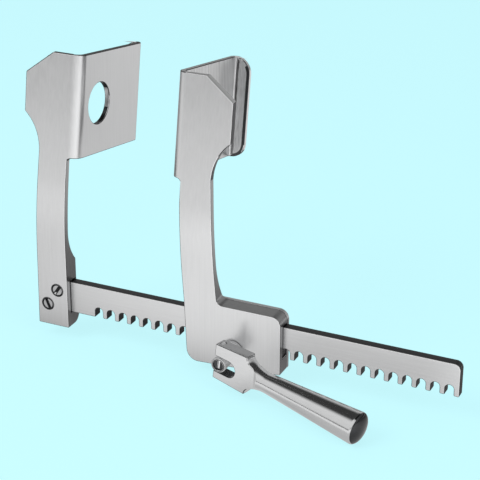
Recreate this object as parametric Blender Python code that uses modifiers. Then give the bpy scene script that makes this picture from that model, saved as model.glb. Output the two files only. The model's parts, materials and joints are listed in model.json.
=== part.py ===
"""Rib spreader: two hooked arms on a toothed rack, opened by a folding crank.

X runs along the rack, Z up the arms, and the blades reach back along Y.
The origin is the middle of the fixed arm's foot, in the rack's middle plane.
"""
import math

import bmesh
import bpy
from mathutils import Matrix

MM = 0.001
GAP = 0.3 * MM
SKIN = 0.02 * MM
DEGREE = math.pi / 180

# Rack: U-shaped gaps cut up into its lower edge
PITCH = 8.5 * MM
TOOTH_COUNT = 28
TOOTH_TIP = 3.3 * MM
TOOTH_DEPTH = 6.8 * MM
TIP_CHAMFER = 0.5 * MM
RACK_HEIGHT = 20.8 * MM
RACK_THICKNESS = 6.2 * MM
RACK_PLAIN = 17.5 * MM
RACK_TONGUE = 17.5 * MM
RACK_END_RADIUS = 4.0 * MM
TIP_LEVEL = 9.6 * MM

# Arms: a flat bar that leans back into the head plate
ARM_WIDTH = 21.6 * MM
ARM_THICKNESS = 4.3 * MM
ARM_NECK_WIDTH = 19.5 * MM
FRONT_WALL = 4.3 * MM
LEAN = 9.4 * DEGREE
LEAN_BEND = 45.0 * MM
LEAN_RUN = 15.0 * MM
BLOCK_ABOVE_RACK = 13.6 * MM
FIXED_FLARE = 20.0 * MM
REAR_WALL_TOP = 1.5 * MM
REAR_WALL_FOOT = 3.5 * MM
FOOT_ROUND = 6.0 * MM

# Heads and blades: the plate folds back, and ends in a lip that turns outward
HEAD_FOOT = 113.0 * MM
BLADE_HEIGHT = 63.5 * MM
BLADE_DEPTH = 79.0 * MM
BLADE_THICKNESS = 3.4 * MM
HEAD_WIDTH = 37.7 * MM
FOLD_RADIUS = 7.2 * MM
FOLD_FILLET = 2.8 * MM
FOLD_ROOT = 2.5 * MM
CHAMFER_WIDTH = 18.2 * MM
CHAMFER_HEIGHT = 14.0 * MM
HEAD_STRAIGHT = 24.3 * MM
SHOULDER_HEIGHT = 23.0 * MM
LIP_WIDTH = 13.4 * MM
LIP_BEND = 4.6 * MM
LIP_TOP_RADIUS = 10.5 * MM
LIP_FOOT_RADIUS = 8.5 * MM
WINDOW_RADIUS = 13.0 * MM
WINDOW_DEPTH = 24.7 * MM

# Slider: the sliding arm's own channel, closed behind by a cover
BLADE_SPREAD = 63.3 * MM
HEAD_OVERHANG = 4.2 * MM
SLIDER_LENGTH = 63.8 * MM
SLIDER_ABOVE_RACK = 7.7 * MM
SLIDER_CORNER = 6.0 * MM
SLIDER_FOOT_CORNER = 7.5 * MM
SLIDER_FOOT_DROP = 2.9 * MM
SLIDER_FOOT_INSET = 1.5 * MM
SLIDER_FILLET = 4.0 * MM
SLIDER_FLARE = 24.0 * MM
COVER_THICKNESS = 2.4 * MM
PINION_OFFSET = 32.6 * MM

# Pinion: two pins between discs, which walk along the rack's gaps
PIN_RADIUS = 1.5 * MM
PIN_ROOT_GAP = 1.3 * MM
DISC_RIM = 1.2 * MM
DISC_THICKNESS = 1.6 * MM
PIN_SEAT = 1.0 * MM
SHAFT_RADIUS = 4.8 * MM
JOURNAL_RADIUS = 4.0 * MM
BUSH_WALL = 0.9 * MM
FLANGE_WIDTH = 2.7 * MM
FLANGE_THICKNESS = 2.4 * MM
FLANGE_BEVEL = 0.5 * MM
REAR_FLANGE_THICKNESS = 0.9 * MM
SHAFT_STANDOFF = 15.1 * MM
SHAFT_NOSE = 4.9 * MM
SHAFT_BEVEL = 0.5 * MM
LOCK_SCREW_WALL = 1.6 * MM
LOCK_SCREW_SUNK = 0.4 * MM
LOCK_SCREW_SLOT = 1.6 * MM
LOCK_SLOT_DEPTH = 1.3 * MM

# Crank handle: a fork on a cross pin, a neck and a tapered grip
CRANK_ANGLE = 6.2 * DEGREE
FOLD_ANGLE = 13.4 * DEGREE
HANDLE_RISE = 1.4 * MM
FORK_HEIGHT = 23.0 * MM
FORK_HEIGHT_NECK = 25.2 * MM
FORK_DEPTH = 7.7 * MM
FORK_TIP = 2.8 * MM
FORK_LENGTH = 20.8 * MM
SLOT_REACH = 12.9 * MM
SLOT_GAP = 0.36 * MM
HINGE_PIN_RADIUS = 1.3 * MM
NECK_LENGTH = 14.0 * MM
NECK_RADIUS = 6.1 * MM
FLAT_END = 25.4 * MM
FLAT_RUNOUT = 5.0 * MM
CONE_START = 57.0 * MM
CONE_START_RADIUS = 7.5 * MM
GRIP_END = 102.1 * MM
GRIP_RADIUS = 9.9 * MM
GRIP_DOME = 4.0 * MM

# Screws: countersunk and slotted
SCREW_SUNK = 0.1 * MM
RACK_SCREW_HEAD = 3.75 * MM
RACK_SCREW_SHANK = 2.0 * MM
RACK_SCREW_LENGTH = 9.0 * MM
RACK_SCREW_ASIDE = 3.6 * MM
RACK_SCREW_BELOW_TOP = 5.4 * MM
RACK_SCREW_ABOVE_TIPS = 4.8 * MM
COVER_SCREW_HEAD = 2.4 * MM
COVER_SCREW_SHANK = 1.3 * MM
COVER_SCREW_LENGTH = 7.5 * MM
COVER_SCREW_INSET = 7.0 * MM
SLOT_WIDTH_SHARE = 0.28
SLOT_DEPTH_SHARE = 0.3

# Places that follow from the sizes above
OVER = 5 * MM
QUARTER = math.pi / 2
RACK_TOP = TIP_LEVEL + RACK_HEIGHT
RACK_FRONT = -RACK_THICKNESS / 2
RACK_BACK = RACK_THICKNESS / 2
FRONT = RACK_FRONT - FRONT_WALL
CHANNEL_FRONT = RACK_FRONT - GAP
CHANNEL_BACK = RACK_BACK + GAP
BLOCK_TOP = RACK_TOP + BLOCK_ABOVE_RACK
SLIDER_HEIGHT = RACK_TOP + SLIDER_ABOVE_RACK
FIXED_EDGE = ARM_WIDTH / 2
HEAD_EDGE = FIXED_EDGE + BLADE_SPREAD + 2 * FOLD_RADIUS
SLIDING_EDGE = HEAD_EDGE + HEAD_OVERHANG
TOOTH_GAP = PITCH - TOOTH_TIP
FIRST_GAP = FIXED_EDGE + RACK_PLAIN
RACK_END = FIRST_GAP + TOOTH_COUNT * PITCH
PINION_X = SLIDING_EDGE + PINION_OFFSET
PINION_Z = TIP_LEVEL
TRAVEL_PER_RADIAN = PITCH / math.pi
PIN_CIRCLE = TOOTH_DEPTH - PIN_ROOT_GAP - PIN_RADIUS
DISC_RADIUS = PIN_CIRCLE + PIN_RADIUS + DISC_RIM
LEAN_END = HEAD_FOOT - LEAN_RUN
LEAN_START = LEAN_END - LEAN_BEND
LEAN_RADIUS = LEAN_BEND / math.sin(LEAN)
COVER_FRONT = CHANNEL_BACK + GAP
COVER_BACK = COVER_FRONT + COVER_THICKNESS
FRONT_DISC_FRONT = CHANNEL_FRONT - DISC_THICKNESS
REAR_DISC_FRONT = RACK_BACK + GAP
REAR_DISC_BACK = REAR_DISC_FRONT + DISC_THICKNESS
HINGE_Y = FRONT - SHAFT_STANDOFF
SHAFT_TIP = HINGE_Y - SHAFT_NOSE
NECK_START = FORK_LENGTH + NECK_LENGTH
FLANGE_RADIUS = SHAFT_RADIUS + FLANGE_WIDTH
REAR_FLANGE_RADIUS = JOURNAL_RADIUS + FLANGE_WIDTH
LOCK_SCREW_RADIUS = SHAFT_RADIUS - LOCK_SCREW_WALL
RACK_SCREW_PLACES = ((RACK_SCREW_ASIDE, RACK_TOP - RACK_SCREW_BELOW_TOP, 60 * DEGREE),
                     (-RACK_SCREW_ASIDE, TIP_LEVEL + RACK_SCREW_ABOVE_TIPS, 110 * DEGREE))

PARTS = bpy.data.collections.new("rib_spreader")
CUTTERS = bpy.data.collections.new("rib_spreader_cutters")


def clear_scene():
    """Remove what the scene holds and link the two collections."""
    for old in list(bpy.data.objects):
        bpy.data.objects.remove(old, do_unlink=True)
    bpy.context.scene.collection.children.link(PARTS)
    bpy.context.scene.collection.children.link(CUTTERS)


def steel(name, colour, roughness):
    """Make a stainless steel of one tone and polish."""
    material = bpy.data.materials.new(name)
    material.use_nodes = True
    shader = material.node_tree.nodes["Principled BSDF"]
    shader.inputs["Base Color"].default_value = (*colour, 1)
    shader.inputs["Metallic"].default_value = 1
    shader.inputs["Roughness"].default_value = roughness
    return material


def arc(centre, radius, start, end, steps):
    """Points on a circle's arc in a drawing plane, both ends included."""
    turns = [start + (end - start) * i / steps for i in range(steps + 1)]
    return [(centre[0] + radius * math.cos(t), centre[1] + radius * math.sin(t)) for t in turns]


def new_object(name, mesh, matrix=None):
    """Link a mesh as an object among the cutters until it is finished as a part."""
    obj = bpy.data.objects.new(name, mesh)
    if matrix is not None:
        obj.matrix_world = matrix
    CUTTERS.objects.link(obj)
    obj.hide_render = True
    obj.display_type = "WIRE"
    return obj


def plate(name, outline, thickness, matrix):
    """A flat outline with thickness, drawn in XY and centred on its plane."""
    work = bmesh.new()
    corners = [work.verts.new((x, y, -thickness / 2)) for x, y in outline]
    drawing = work.faces.new(corners)
    raised = bmesh.ops.extrude_face_region(work, geom=[drawing], use_keep_orig=True)["geom"]
    top = [item for item in raised if isinstance(item, bmesh.types.BMVert)]
    bmesh.ops.translate(work, verts=top, vec=(0, 0, thickness))
    bmesh.ops.remove_doubles(work, verts=work.verts, dist=0.001 * MM)
    return from_bmesh(name, work, matrix)


def weld(mesh):
    """Close a converted curve's caps and point all its faces outward."""
    work = bmesh.new()
    work.from_mesh(mesh)
    bmesh.ops.remove_doubles(work, verts=work.verts, dist=0.001 * MM)
    bmesh.ops.recalc_face_normals(work, faces=work.faces)
    work.to_mesh(mesh)
    work.free()


def from_bmesh(name, work, matrix):
    """Store a bmesh as an object."""
    mesh = bpy.data.meshes.new(name)
    bmesh.ops.recalc_face_normals(work, faces=work.faces)
    work.to_mesh(mesh)
    work.free()
    return new_object(name, mesh, matrix)


def cylinder(name, radius, start, end, matrix, segments=32):
    """A cylinder along the frame's Z from start to end."""
    work = bmesh.new()
    shift = Matrix.Translation((0, 0, (start + end) / 2))
    bmesh.ops.create_cone(work, cap_ends=True, segments=segments, radius1=radius,
                          radius2=radius, depth=end - start, matrix=shift)
    return from_bmesh(name, work, matrix)


def box(name, low, high, matrix=None):
    """A box between two corners."""
    work = bmesh.new()
    size = [b - a for a, b in zip(low, high)]
    middle = [(a + b) / 2 for a, b in zip(low, high)]
    scale = Matrix.Diagonal((*size, 1))
    bmesh.ops.create_cube(work, size=1, matrix=Matrix.Translation(middle) @ scale)
    return from_bmesh(name, work, matrix or Matrix())


def turned(name, profile, matrix, segments=40):
    """Turn a profile of (radius, height) points about the frame's Z."""
    mesh = bpy.data.meshes.new(name)
    points = [(radius, 0, height) for radius, height in profile]
    edges = [(i, i + 1) for i in range(len(points) - 1)]
    mesh.from_pydata(points, edges, [])
    obj = new_object(name, mesh)
    screw = obj.modifiers.new("turn", "SCREW")
    screw.axis = "Z"
    screw.steps = segments
    screw.render_steps = segments
    screw.use_merge_vertices = True
    screw.merge_threshold = 0.002 * MM
    bake(obj)
    weld(obj.data)
    obj.matrix_world = matrix
    return obj


def bake(obj):
    """Replace an object's mesh by what its modifiers make of it."""
    bpy.context.view_layer.update()
    evaluated = obj.evaluated_get(bpy.context.evaluated_depsgraph_get())
    mesh = bpy.data.meshes.new_from_object(evaluated)
    obj.modifiers.clear()
    obj.data = mesh


def combine(obj, tools, operation):
    """Cut, join or intersect an object with each tool in turn."""
    for tool in tools:
        modifier = obj.modifiers.new(tool.name, "BOOLEAN")
        modifier.operation = operation
        modifier.object = tool
        modifier.solver = "EXACT"


def finish(obj, name, material, parent=None):
    """Turn a worked blank into a named part with its own material."""
    bake(obj)
    CUTTERS.objects.unlink(obj)
    PARTS.objects.link(obj)
    obj.hide_render = False
    obj.display_type = "TEXTURED"
    obj.name = name
    obj.data.name = name
    obj.data.materials.clear()
    obj.data.materials.append(material)
    obj.data.shade_smooth()
    obj.data.set_sharp_from_angle(angle=35 * DEGREE)
    if parent is not None:
        bpy.context.view_layer.update()
        obj.parent = parent
        obj.matrix_parent_inverse = parent.matrix_world.inverted()
    return obj


def axis_empty(name, matrix, parent=None):
    """An empty on a joint's axis, which carries that joint's parts."""
    empty = bpy.data.objects.new(name, None)
    empty.empty_display_size = 10 * MM
    PARTS.objects.link(empty)
    empty.matrix_world = matrix
    if parent is not None:
        empty.parent = parent
        empty.matrix_parent_inverse = parent.matrix_world.inverted()
    bpy.context.view_layer.update()
    return empty


def columns(x_axis, y_axis, z_axis, origin):
    """A frame from its three axes and its origin."""
    matrix = Matrix((x_axis, y_axis, z_axis)).transposed().to_4x4()
    matrix.translation = origin
    return matrix


def front_view(y):
    """Drawing plane of X and Z, seen from the front, at depth y."""
    return columns((1, 0, 0), (0, 0, 1), (0, -1, 0), (0, y, 0))


def side_view(x):
    """Drawing plane of Y and Z, seen from the side, at x."""
    return columns((0, 1, 0), (0, 0, 1), (1, 0, 0), (x, 0, 0))


def along_y(x, z):
    """Frame whose Z runs back along the shaft's direction through (x, z)."""
    return columns((1, 0, 0), (0, 0, -1), (0, 1, 0), (x, 0, z))


def rack_outline():
    """Side view of the rack with its round-rooted gaps."""
    points = [(FIXED_EDGE - RACK_TONGUE, TIP_LEVEL)]
    root_radius = TOOTH_GAP / 2
    for i in range(TOOTH_COUNT):
        left = FIRST_GAP + i * PITCH
        right = left + TOOTH_GAP
        root = (left + root_radius, TIP_LEVEL + TOOTH_DEPTH - root_radius)
        points += [(left - TIP_CHAMFER, TIP_LEVEL), (left, TIP_LEVEL + TIP_CHAMFER)]
        points += arc(root, root_radius, math.pi, 0, 8)
        points += [(right, TIP_LEVEL + TIP_CHAMFER), (right + TIP_CHAMFER, TIP_LEVEL)]
    points.append((RACK_END, TIP_LEVEL))
    corner = (RACK_END - RACK_END_RADIUS, RACK_TOP - RACK_END_RADIUS)
    points += arc(corner, RACK_END_RADIUS, 0, QUARTER, 8)
    points.append((FIXED_EDGE - RACK_TONGUE, RACK_TOP))
    return points


def screw_profile(head, shank, length, clearance=0):
    """Countersunk screw from its flat head down, grown by a clearance for its hole."""
    cone = head - shank
    return [(0, 0), (head + clearance, 0), (shank + clearance, cone + clearance * 0.4),
            (shank + clearance, length + clearance), (0, length + clearance)]


def countersunk_screw(name, head, shank, length, matrix, slot_angle):
    """A slotted countersunk screw with its head at the frame's origin."""
    screw = turned(name, screw_profile(head, shank, length), matrix, 28)
    half = SLOT_WIDTH_SHARE * head / 2
    deep = SLOT_DEPTH_SHARE * head
    turn = matrix @ Matrix.Rotation(slot_angle, 4, "Z")
    slot = box(name + "_slot", (-head * 1.2, -half, -MM), (head * 1.2, half, deep), turn)
    combine(screw, [slot], "DIFFERENCE")
    bake(screw)
    return screw


def screw_hole(name, head, shank, length, matrix):
    """The hole that a countersunk screw sits in, open at its mouth."""
    rim = head + GAP
    profile = [(0, -MM), (rim, -MM)] + screw_profile(head, shank, length, GAP)[1:]
    return turned(name, profile, matrix, 28)


def lean_point(offset, turn):
    """A point of the arm's side view on the leaning arc, offset back from the front."""
    radius = LEAN_RADIUS - offset
    return (FRONT + LEAN_RADIUS - radius * math.cos(turn), LEAN_START + radius * math.sin(turn))


def head_point(offset, height):
    """A point of the leaning head's side view, offset back and height up from its foot."""
    y, z = lean_point(offset, LEAN)
    along = LEAN_RUN / math.cos(LEAN) + height
    return (y + along * math.sin(LEAN), z + along * math.cos(LEAN))


def arm_side_outline(block_back, block_top, flare_height, foot_back):
    """Side view of an arm: foot block, flare, bar that leans back, and head plate."""
    steps = 8
    turns = [LEAN * i / steps for i in range(steps + 1)]
    front = [(FRONT, -OVER)] + [lean_point(0, t) for t in turns]
    front.append(head_point(0, BLADE_HEIGHT))
    back = [head_point(ARM_THICKNESS, BLADE_HEIGHT)]
    flare_end = block_top + flare_height
    back += [lean_point(ARM_THICKNESS, t) for t in reversed(turns)
             if lean_point(ARM_THICKNESS, t)[1] > flare_end + MM]
    start_y = bar_back(flare_end)
    depth = block_back - start_y
    sweep = 2 * math.atan2(depth, flare_height)
    radius = flare_height / math.sin(sweep)
    back += [(start_y + radius * (1 - math.cos(t)), flare_end - radius * math.sin(t))
             for t in [sweep * i / 8 for i in range(9)]]
    return front + back + foot_back


def bar_back(height):
    """Y of the bar's back face at a height up to the end of the leaning arc."""
    radius = LEAN_RADIUS - ARM_THICKNESS
    turn = math.asin(max(0, height - LEAN_START) / radius)
    return FRONT + LEAN_RADIUS - radius * math.cos(turn)


def arm_front_outline(foot, overhang):
    """Front view from the inner edge outward; the head stands inward of the foot by overhang."""
    head_out = HEAD_WIDTH - FOLD_RADIUS - overhang
    neck_out = ARM_NECK_WIDTH - overhang
    shoulder_top = HEAD_FOOT + (BLADE_HEIGHT - CHAMFER_HEIGHT - HEAD_STRAIGHT) * math.cos(LEAN)
    shoulder_foot = shoulder_top - SHOULDER_HEIGHT
    chamfer_foot = HEAD_FOOT + (BLADE_HEIGHT - CHAMFER_HEIGHT) * math.cos(LEAN)
    top = HEAD_FOOT + BLADE_HEIGHT * math.cos(LEAN)
    sweep = 2 * math.atan2(head_out - neck_out, SHOULDER_HEIGHT)
    radius = SHOULDER_HEIGHT / math.sin(sweep)
    shoulder = [(neck_out + radius * (1 - math.cos(t)), shoulder_foot + radius * math.sin(t))
                for t in [sweep * i / 10 for i in range(11)]]
    run = CHAMFER_WIDTH * (1 + OVER / (top - chamfer_foot))
    crown = [(head_out, chamfer_foot), (head_out - run, top + OVER), (-overhang, top + OVER)]
    inner = [(-overhang, LEAN_END), (0, SLIDER_HEIGHT)] if overhang else []
    return foot + shoulder + crown + inner


def blade_outline():
    """Plan of the fold, blade and lip; x runs outward and y back from the head's face."""
    inner = FOLD_RADIUS - BLADE_THICKNESS
    face = -FOLD_RADIUS
    fold_centre = (0, FOLD_RADIUS + SKIN)
    lip_centre = (face + LIP_BEND, BLADE_DEPTH - LIP_BEND)
    points = [(FOLD_ROOT, SKIN)]
    points += arc(fold_centre, FOLD_RADIUS, 3 * QUARTER, 2 * QUARTER, 10)
    points += arc(lip_centre, LIP_BEND, 2 * QUARTER, QUARTER, 8)
    points.append((face + LIP_WIDTH, BLADE_DEPTH))
    points.append((face + LIP_WIDTH, BLADE_DEPTH - BLADE_THICKNESS))
    points += arc(lip_centre, LIP_BEND - BLADE_THICKNESS, QUARTER, 2 * QUARTER, 6)
    points += arc(fold_centre, inner, 2 * QUARTER, 3 * QUARTER, 8)
    points.append((FOLD_ROOT, BLADE_THICKNESS + SKIN))
    return points


def head_frame(edge, side):
    """Frame of a leaning head: X outward, Y back through the blade, Z up the head."""
    y, z = head_point(0, 0)
    lean = Matrix.Rotation(-LEAN, 4, "X")
    mirror = Matrix.Diagonal((side, 1, 1, 1))
    return Matrix.Translation((edge, y, z)) @ lean @ mirror


def corner_outline(x, z, radius, x_way, z_way):
    """Region outside a rounded corner at (x, z), which points along the two ways."""
    centre = (x - x_way * radius, z - z_way * radius)
    points = [(centre[0] + x_way * radius * math.cos(t), centre[1] + z_way * radius * math.sin(t))
              for t in [QUARTER * i / 8 for i in range(9)]]
    return points + [(centre[0], z + z_way * OVER), (x + x_way * OVER, z + z_way * OVER),
                     (x + x_way * OVER, centre[1])]


def foot_cutters(name, frame):
    """What lies below a folded sheet's foot: all behind the fold, and all but a fillet at it."""
    reach = FOLD_RADIUS + LIP_WIDTH
    behind = box(name + "_behind", (-reach, FOLD_RADIUS, -OVER), (reach, BLADE_DEPTH + OVER, 0))
    behind.matrix_world = frame
    centre = (SKIN - FOLD_FILLET, -FOLD_FILLET)
    outline = [(-reach, 0)] + arc(centre, FOLD_FILLET, QUARTER, 0, 6)
    outline += [(SKIN, -OVER), (-reach, -OVER)]
    depth = FOLD_RADIUS + OVER
    plane = frame @ columns((1, 0, 0), (0, 0, 1), (0, -1, 0), (0, FOLD_RADIUS - depth / 2, 0))
    return [behind, plate(name + "_fillet", outline, depth + SKIN, plane)]


def blade_body(name, edge, side):
    """Fold, blade with its round window, and lip with its rounded corners."""
    frame = head_frame(edge, side)
    height = BLADE_HEIGHT + FOLD_FILLET - SKIN
    middle = frame @ Matrix.Translation((0, 0, (BLADE_HEIGHT - FOLD_FILLET - SKIN) / 2))
    blade = plate(name, blade_outline(), height, middle)
    across = frame @ columns((0, 1, 0), (0, 0, 1), (1, 0, 0), (0, WINDOW_DEPTH, BLADE_HEIGHT / 2))
    window = cylinder(name + "_window", WINDOW_RADIUS, -FOLD_RADIUS - MM,
                      BLADE_THICKNESS - FOLD_RADIUS + MM, across, 56)
    lip_plane = frame @ columns((1, 0, 0), (0, 0, 1), (0, -1, 0), (0, BLADE_DEPTH, 0))
    reach = 2 * (BLADE_THICKNESS + MM)
    lip_edge = LIP_WIDTH - FOLD_RADIUS
    top = plate(name + "_lip_top",
                corner_outline(lip_edge, BLADE_HEIGHT - SKIN, LIP_TOP_RADIUS, 1, 1), reach, lip_plane)
    foot = plate(name + "_lip_foot",
                 corner_outline(lip_edge, 0, LIP_FOOT_RADIUS, 1, -1), reach, lip_plane)
    tools = foot_cutters(name, frame) + [window, top, foot]
    for obj in [blade] + tools:
        straighten(obj)
    combine(blade, tools, "DIFFERENCE")
    bake(blade)
    return blade


def straighten(obj):
    """Move an object's frame into its mesh, and mend the faces that mirroring turned."""
    obj.data.transform(obj.matrix_world)
    obj.matrix_world = Matrix()
    weld(obj.data)


def arm_body(name, edge, head_edge, side, foot, profile, length):
    """An arm with its head and blade, from its side view, front view and folded sheet."""
    middle = edge + side * (length - OVER) / 2
    blank = plate(name, arm_side_outline(*profile), length + 3 * OVER, side_view(middle))
    overhang = side * (edge - head_edge)
    outline = [(edge + side * out, z) for out, z in arm_front_outline(foot, overhang)]
    front = plate(name + "_front", outline, 2 * BLADE_DEPTH, front_view(0))
    combine(blank, [front], "INTERSECT")
    bake(blank)
    combine(blank, [blade_body(name + "_blade", head_edge, side)], "UNION")
    bake(blank)
    return blank


def fixed_arm(material):
    """The arm that holds the rack's end in a pocket of its foot, which is round behind."""
    foot = [(0, 0), (ARM_WIDTH, 0)]
    block_back = RACK_BACK + REAR_WALL_TOP
    foot_back = RACK_BACK + REAR_WALL_FOOT
    heel = (foot_back - FOOT_ROUND, FOOT_ROUND - SKIN)
    behind = [(block_back, RACK_TOP), (foot_back, TIP_LEVEL)] + arc(heel, FOOT_ROUND, 0, -QUARTER, 8)
    behind.append((heel[0], -OVER))
    profile = (block_back, BLOCK_TOP, FIXED_FLARE, behind)
    body = arm_body("fixed_arm_blank", FIXED_EDGE, FIXED_EDGE, -1, foot, profile, HEAD_WIDTH)
    pocket = box("rack_pocket", (FIXED_EDGE - RACK_TONGUE - GAP, CHANNEL_FRONT, TIP_LEVEL - GAP),
                 (FIXED_EDGE + OVER, CHANNEL_BACK, RACK_TOP + GAP))
    holes = [screw_hole(f"rack_screw_hole_{i}", RACK_SCREW_HEAD, RACK_SCREW_SHANK,
                        RACK_SCREW_LENGTH, rack_screw_frame(place))
             for i, place in enumerate(RACK_SCREW_PLACES)]
    combine(body, [pocket] + holes, "DIFFERENCE")
    return finish(body, "fixed_arm", material)


def rack_screw_frame(place):
    """Frame at a rack screw's head, a hair below the foot's face, pointing back."""
    return along_y(place[0], place[1]) @ Matrix.Translation((0, 0, FRONT + SCREW_SUNK))


def rack_bar(material):
    """The toothed rack, with tapped holes for its two screws."""
    bar = plate("rack_blank", rack_outline(), RACK_THICKNESS, front_view(0))
    holes = [cylinder(f"rack_tap_{i}", RACK_SCREW_SHANK + GAP, FRONT - MM,
                      FRONT + SCREW_SUNK + RACK_SCREW_LENGTH + GAP, along_y(place[0], place[1]), 28)
             for i, place in enumerate(RACK_SCREW_PLACES)]
    combine(bar, holes, "DIFFERENCE")
    return finish(bar, "rack_bar", material)


def rack_screws(material):
    """The two screws that hold the rack in the fixed arm."""
    for i, place in enumerate(RACK_SCREW_PLACES, 1):
        screw = countersunk_screw(f"rack_screw_blank_{i}", RACK_SCREW_HEAD, RACK_SCREW_SHANK,
                                  RACK_SCREW_LENGTH, rack_screw_frame(place), place[2])
        finish(screw, f"rack_screw_{i}", material)


def tangent_turn(point, centre, radius, way):
    """Where on a circle the tangent from a point touches it, as a turn about its centre."""
    x, z = point[0] - centre[0], point[1] - centre[1]
    return math.atan2(z, x) + way * math.acos(radius / math.hypot(x, z))


def slider_foot_points():
    """The slider's front view, from its inner foot corner round to its upper outer corner."""
    foot = (SLIDER_FOOT_INSET + SLIDER_FOOT_CORNER, SLIDER_FOOT_CORNER - SLIDER_FOOT_DROP)
    start = tangent_turn((0, SLIDER_HEIGHT), foot, SLIDER_FOOT_CORNER, 1)
    end = tangent_turn((SLIDER_LENGTH, 0), foot, SLIDER_FOOT_CORNER, -1) + 4 * QUARTER
    points = arc(foot, SLIDER_FOOT_CORNER, start, end, 8)
    points.append((SLIDER_LENGTH, 0))
    corner = (SLIDER_LENGTH - SLIDER_CORNER, SLIDER_HEIGHT - SLIDER_CORNER)
    points += arc(corner, SLIDER_CORNER, 0, QUARTER, 8)
    return points


def cover_screw_places():
    """The four cover screws: one near each corner, in the rails above and below the rack."""
    rail_low = (TIP_LEVEL - GAP) / 2
    rail_high = (RACK_TOP + GAP + SLIDER_HEIGHT) / 2
    left = SLIDING_EDGE + COVER_SCREW_INSET
    right = SLIDING_EDGE + SLIDER_LENGTH - COVER_SCREW_INSET
    return [(x, z) for z in (rail_low, rail_high) for x in (left, right)]


def cover_screw_frame(place):
    """Frame at a cover screw's head, pointing forward from the cover's back."""
    turn = Matrix.Rotation(math.pi, 4, "X")
    return along_y(place[0], place[1]) @ Matrix.Translation((0, 0, COVER_BACK - SCREW_SUNK)) @ turn


def cover_screw_holes(prefix):
    """The holes of the four cover screws."""
    return [screw_hole(f"{prefix}_{i}", COVER_SCREW_HEAD, COVER_SCREW_SHANK,
                       COVER_SCREW_LENGTH, cover_screw_frame(place))
            for i, place in enumerate(cover_screw_places())]


def sliding_arm(material, parent):
    """The arm whose foot is the slider: front wall and two rails around the rack."""
    fillet = (ARM_WIDTH + SLIDER_FILLET, SLIDER_HEIGHT + SLIDER_FILLET)
    foot = slider_foot_points() + arc(fillet, SLIDER_FILLET, 3 * QUARTER, 2 * QUARTER, 6)
    profile = (CHANNEL_BACK, SLIDER_HEIGHT, SLIDER_FLARE, [(CHANNEL_BACK, -OVER)])
    body = arm_body("sliding_arm_blank", SLIDING_EDGE, HEAD_EDGE, 1, foot, profile, SLIDER_LENGTH)
    channel = box("rack_channel", (SLIDING_EDGE - OVER, CHANNEL_FRONT, TIP_LEVEL - GAP),
                  (SLIDING_EDGE + SLIDER_LENGTH + OVER, CHANNEL_BACK + OVER, RACK_TOP + GAP))
    axis = along_y(PINION_X, PINION_Z)
    chamber = cylinder("pinion_chamber", DISC_RADIUS + GAP, FRONT_DISC_FRONT - GAP,
                       CHANNEL_BACK + OVER, axis, 40)
    bore = cylinder("bush_bore", SHAFT_RADIUS + BUSH_WALL + 2 * GAP, FRONT - OVER,
                    CHANNEL_FRONT, axis, 40)
    combine(body, [channel, chamber, bore] + cover_screw_holes("rail_hole"), "DIFFERENCE")
    return finish(body, "sliding_arm", material, parent)


def slider_cover(material, parent):
    """The cover that closes the slider behind, recessed for the pinion's end disc."""
    outline = slider_foot_points() + [(0, SLIDER_HEIGHT)]
    placed = [(SLIDING_EDGE + x, z) for x, z in outline]
    middle = (COVER_FRONT + COVER_BACK) / 2
    cover = plate("cover_blank", placed, COVER_THICKNESS, front_view(middle))
    axis = along_y(PINION_X, PINION_Z)
    recess = cylinder("disc_recess", DISC_RADIUS + GAP, COVER_FRONT - MM, REAR_DISC_BACK + GAP,
                      axis, 40)
    bore = cylinder("rear_bore", JOURNAL_RADIUS + BUSH_WALL + 2 * GAP, COVER_FRONT,
                    COVER_BACK + MM, axis, 40)
    combine(cover, [recess, bore] + cover_screw_holes("cover_hole"), "DIFFERENCE")
    return finish(cover, "slider_cover", material, parent)


def cover_screws(material, parent):
    """The four screws that hold the cover."""
    for i, place in enumerate(cover_screw_places(), 1):
        screw = countersunk_screw(f"cover_screw_blank_{i}", COVER_SCREW_HEAD, COVER_SCREW_SHANK,
                                  COVER_SCREW_LENGTH, cover_screw_frame(place), i * 40 * DEGREE)
        finish(screw, f"cover_screw_{i}", material, parent)


def front_bush(material, parent):
    """The flanged bush that the crank shaft turns in, proud of the slider's face."""
    bore = SHAFT_RADIUS + GAP
    sleeve = bore + BUSH_WALL
    inner = FRONT_DISC_FRONT - GAP
    face = FRONT - GAP
    nose = face - FLANGE_THICKNESS
    profile = [(bore, nose), (FLANGE_RADIUS - FLANGE_BEVEL, nose),
               (FLANGE_RADIUS, nose + FLANGE_BEVEL), (FLANGE_RADIUS, face), (sleeve, face),
               (sleeve, inner), (bore, inner), (bore, nose)]
    bush = turned("front_bush_blank", profile, along_y(PINION_X, PINION_Z))
    return finish(bush, "front_bush", material, parent)


def rear_bush(material, parent):
    """The smaller flanged bush in the cover."""
    bore = JOURNAL_RADIUS + GAP
    sleeve = bore + BUSH_WALL
    inner = REAR_DISC_BACK + GAP
    face = COVER_BACK + GAP
    tail = face + REAR_FLANGE_THICKNESS
    profile = [(bore, inner), (sleeve, inner), (sleeve, face), (REAR_FLANGE_RADIUS, face),
               (REAR_FLANGE_RADIUS, tail), (bore, tail), (bore, inner)]
    bush = turned("rear_bush_blank", profile, along_y(PINION_X, PINION_Z))
    return finish(bush, "rear_bush", material, parent)


def pin_frames():
    """Frames on the axes of the two drive pins, turned to mesh where the slider stands."""
    nearest = round((PINION_X - FIRST_GAP - TOOTH_GAP / 2) / PITCH)
    past_gap = PINION_X - (FIRST_GAP + TOOTH_GAP / 2 + nearest * PITCH)
    turn = -past_gap / TRAVEL_PER_RADIAN
    return [along_y(PINION_X + PIN_CIRCLE * math.sin(turn + half),
                    PINION_Z + PIN_CIRCLE * math.cos(turn + half)) for half in (0, math.pi)]


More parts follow.
